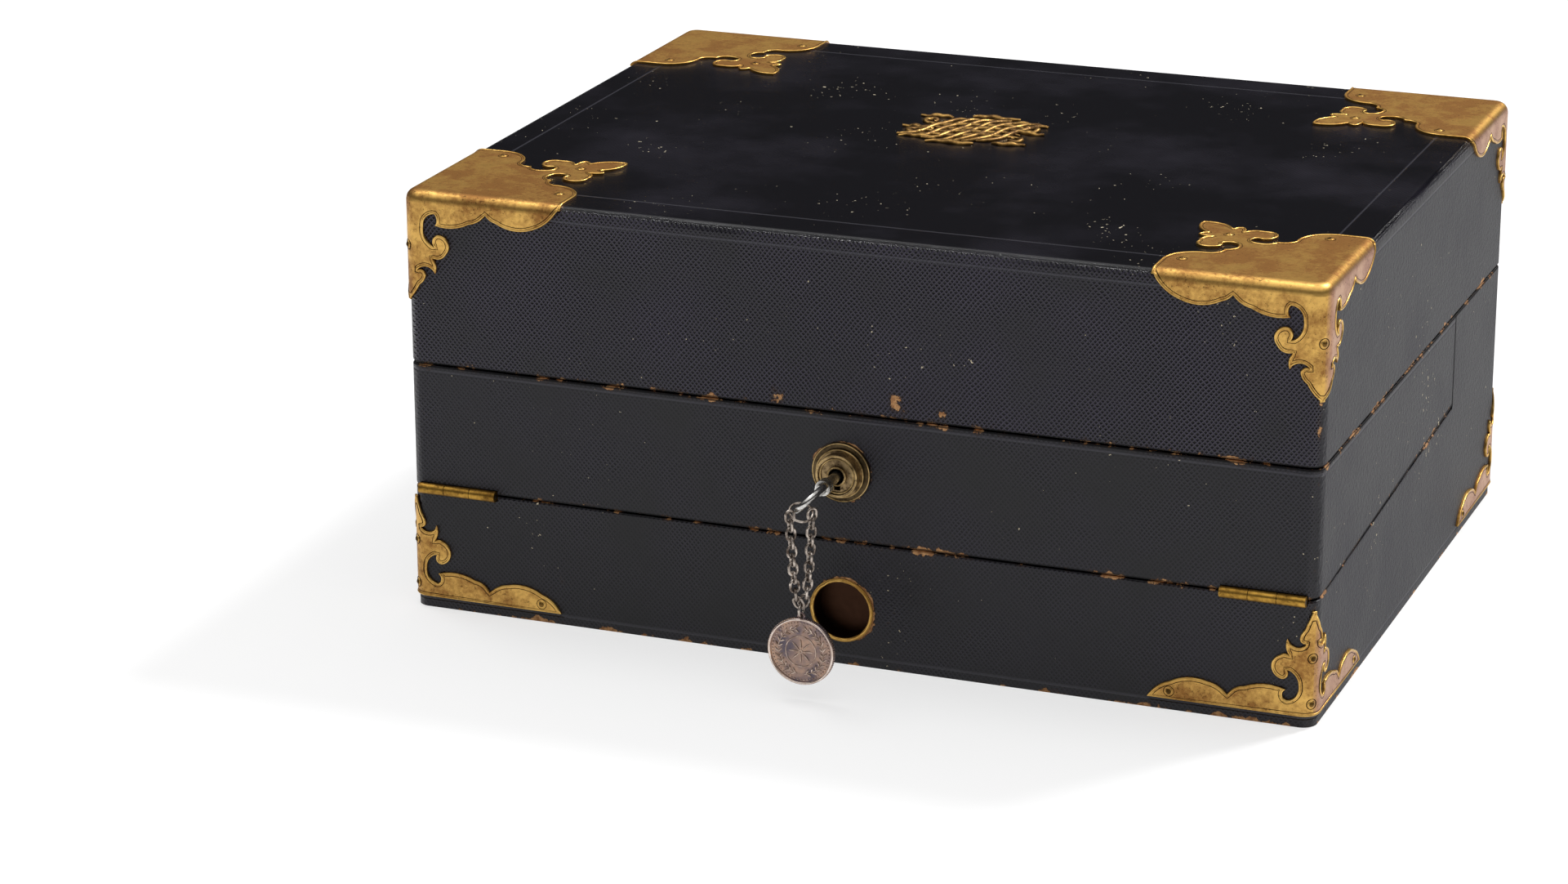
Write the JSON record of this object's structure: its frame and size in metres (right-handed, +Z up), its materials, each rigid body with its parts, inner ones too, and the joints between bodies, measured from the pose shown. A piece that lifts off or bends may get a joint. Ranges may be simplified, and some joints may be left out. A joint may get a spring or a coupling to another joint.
{
  "type": "travelling writing box",
  "caption": "Leather-covered travelling writing box with a hinged lid, folding writing section, brass corners, box lock with key, chain and token, inkwells and pen tray.",
  "frame": {"origin": "middle of the bottom face, where the box stands", "axes": "+Z up, front with the lock towards -Y, +X to the right seen from the front"},
  "size_m": [0.3228, 0.2931, 0.1494],
  "materials": {
    "wood": "dark walnut boards",
    "black_leather": "black grained leather, worn tan at the edges",
    "writing_leather": "tooled brown leather",
    "lining_silk": "watered silk lining",
    "gilt_brass": "gilt brass with patina",
    "lock_brass": "antique brass",
    "pin_steel": "bright steel",
    "key_steel": "polished steel",
    "chain_silver": "tarnished silver",
    "token_silver": "tarnished struck silver",
    "ink_glass": "clear pressed glass"
  },
  "bodies": {
    "root": {"base_bottom_board": "wood", "base_front_board": "wood", "base_rear_board": "wood", "base_left_board": "wood", "base_right_board": "wood", "base_partition": "wood", "base_leather": "black_leather", "base_corners": "gilt_brass", "base_corner_nails": "gilt_brass", "rear_hinge_base_leaves": "gilt_brass", "rear_hinge_pins": "pin_steel", "front_hinge_base_leaves": "gilt_brass", "front_hinge_section_leaves": "gilt_brass", "front_hinge_pins": "pin_steel", "section_top_board": "wood", "section_front_board": "wood", "section_rear_board": "wood", "section_left_board": "wood", "section_right_board": "wood", "section_leather": "black_leather", "lower_flap_ledges": "wood", "upper_flap_ledges": "wood", "lower_writing_flap": "wood", "upper_writing_flap": "wood", "lower_writing_leather": "writing_leather", "upper_writing_leather": "writing_leather", "compartment_dividers": "wood", "inkwell_risers": "wood", "pen_tray_ledges": "wood", "left_inkwell_glass": "ink_glass", "right_inkwell_glass": "ink_glass", "left_inkwell_collar": "gilt_brass", "right_inkwell_collar": "gilt_brass", "inkwell_cap_pins": "pin_steel", "lock_escutcheon": "lock_brass", "lock_case": "lock_brass", "lock_drill_pin": "pin_steel", "recess_cup": "lock_brass"},
    "lid": {"lid_top_board": "wood", "lid_front_board": "wood", "lid_rear_board": "wood", "lid_left_board": "wood", "lid_right_board": "wood", "lid_leather": "black_leather", "lid_lining": "lining_silk", "lid_ornament": "gilt_brass", "lid_corners": "gilt_brass", "lid_corner_nails": "gilt_brass", "link_plate": "gilt_brass", "rear_hinge_lid_leaves": "gilt_brass"},
    "bolt": {"lock_bolt": "pin_steel"},
    "key": {"key": "key_steel"},
    "chain": {"chain_links": "chain_silver", "chain_rings": "chain_silver"},
    "token": {"token": "token_silver"},
    "tray": {"pen_tray": "wood"},
    "left_cap": {"left_inkwell_cap": "gilt_brass"},
    "right_cap": {"right_inkwell_cap": "gilt_brass"}
  },
  "joints": [
    {"name": "lid_hinge", "type": "hinge", "parent": "root", "child": "lid", "pos_m": [0, 0.1265, 0.08795], "axis": [-1, 0, 0], "range_deg": [0, 105]},
    {"name": "key_turn", "type": "hinge", "parent": "root", "child": "key", "pos_m": [-0.0021, -0.1541, 0.0678], "axis": [0, 1, 0], "range_deg": [-36, 36]},
    {"name": "bolt_slide", "type": "slide", "parent": "root", "child": "bolt", "axis": [1, 0, 0], "range_m": [-0.00225, 0.00225]},
    {"name": "chain_hang", "type": "hinge", "parent": "key", "child": "chain", "pos_m": [-0.0046, -0.16023, 0.0653], "axis": [0, 1, 0], "range_deg": [-36.5, 36.5]},
    {"name": "token_swing", "type": "hinge", "parent": "chain", "child": "token", "pos_m": [-0.0028, -0.1609, 0.02955], "axis": [0, 1, 0], "range_deg": [-40, 40]},
    {"name": "tray_lift", "type": "slide", "parent": "root", "child": "tray", "axis": [0, 0, 1], "range_m": [0, 0.05]},
    {"name": "left_cap_hinge", "type": "hinge", "parent": "root", "child": "left_cap", "pos_m": [-0.13325, 0.0966, 0.0751], "axis": [-1, 0, 0], "range_deg": [0, 95]},
    {"name": "right_cap_hinge", "type": "hinge", "parent": "root", "child": "right_cap", "pos_m": [0.13325, 0.0966, 0.0751], "axis": [-1, 0, 0], "range_deg": [0, 95]}
  ],
  "couplings": [
    {"joint": "key_turn", "follows": "bolt_slide", "rad_per_m": 277.78},
    {"joint": "chain_hang", "follows": "bolt_slide", "rad_per_m": -277.78}
  ]
}
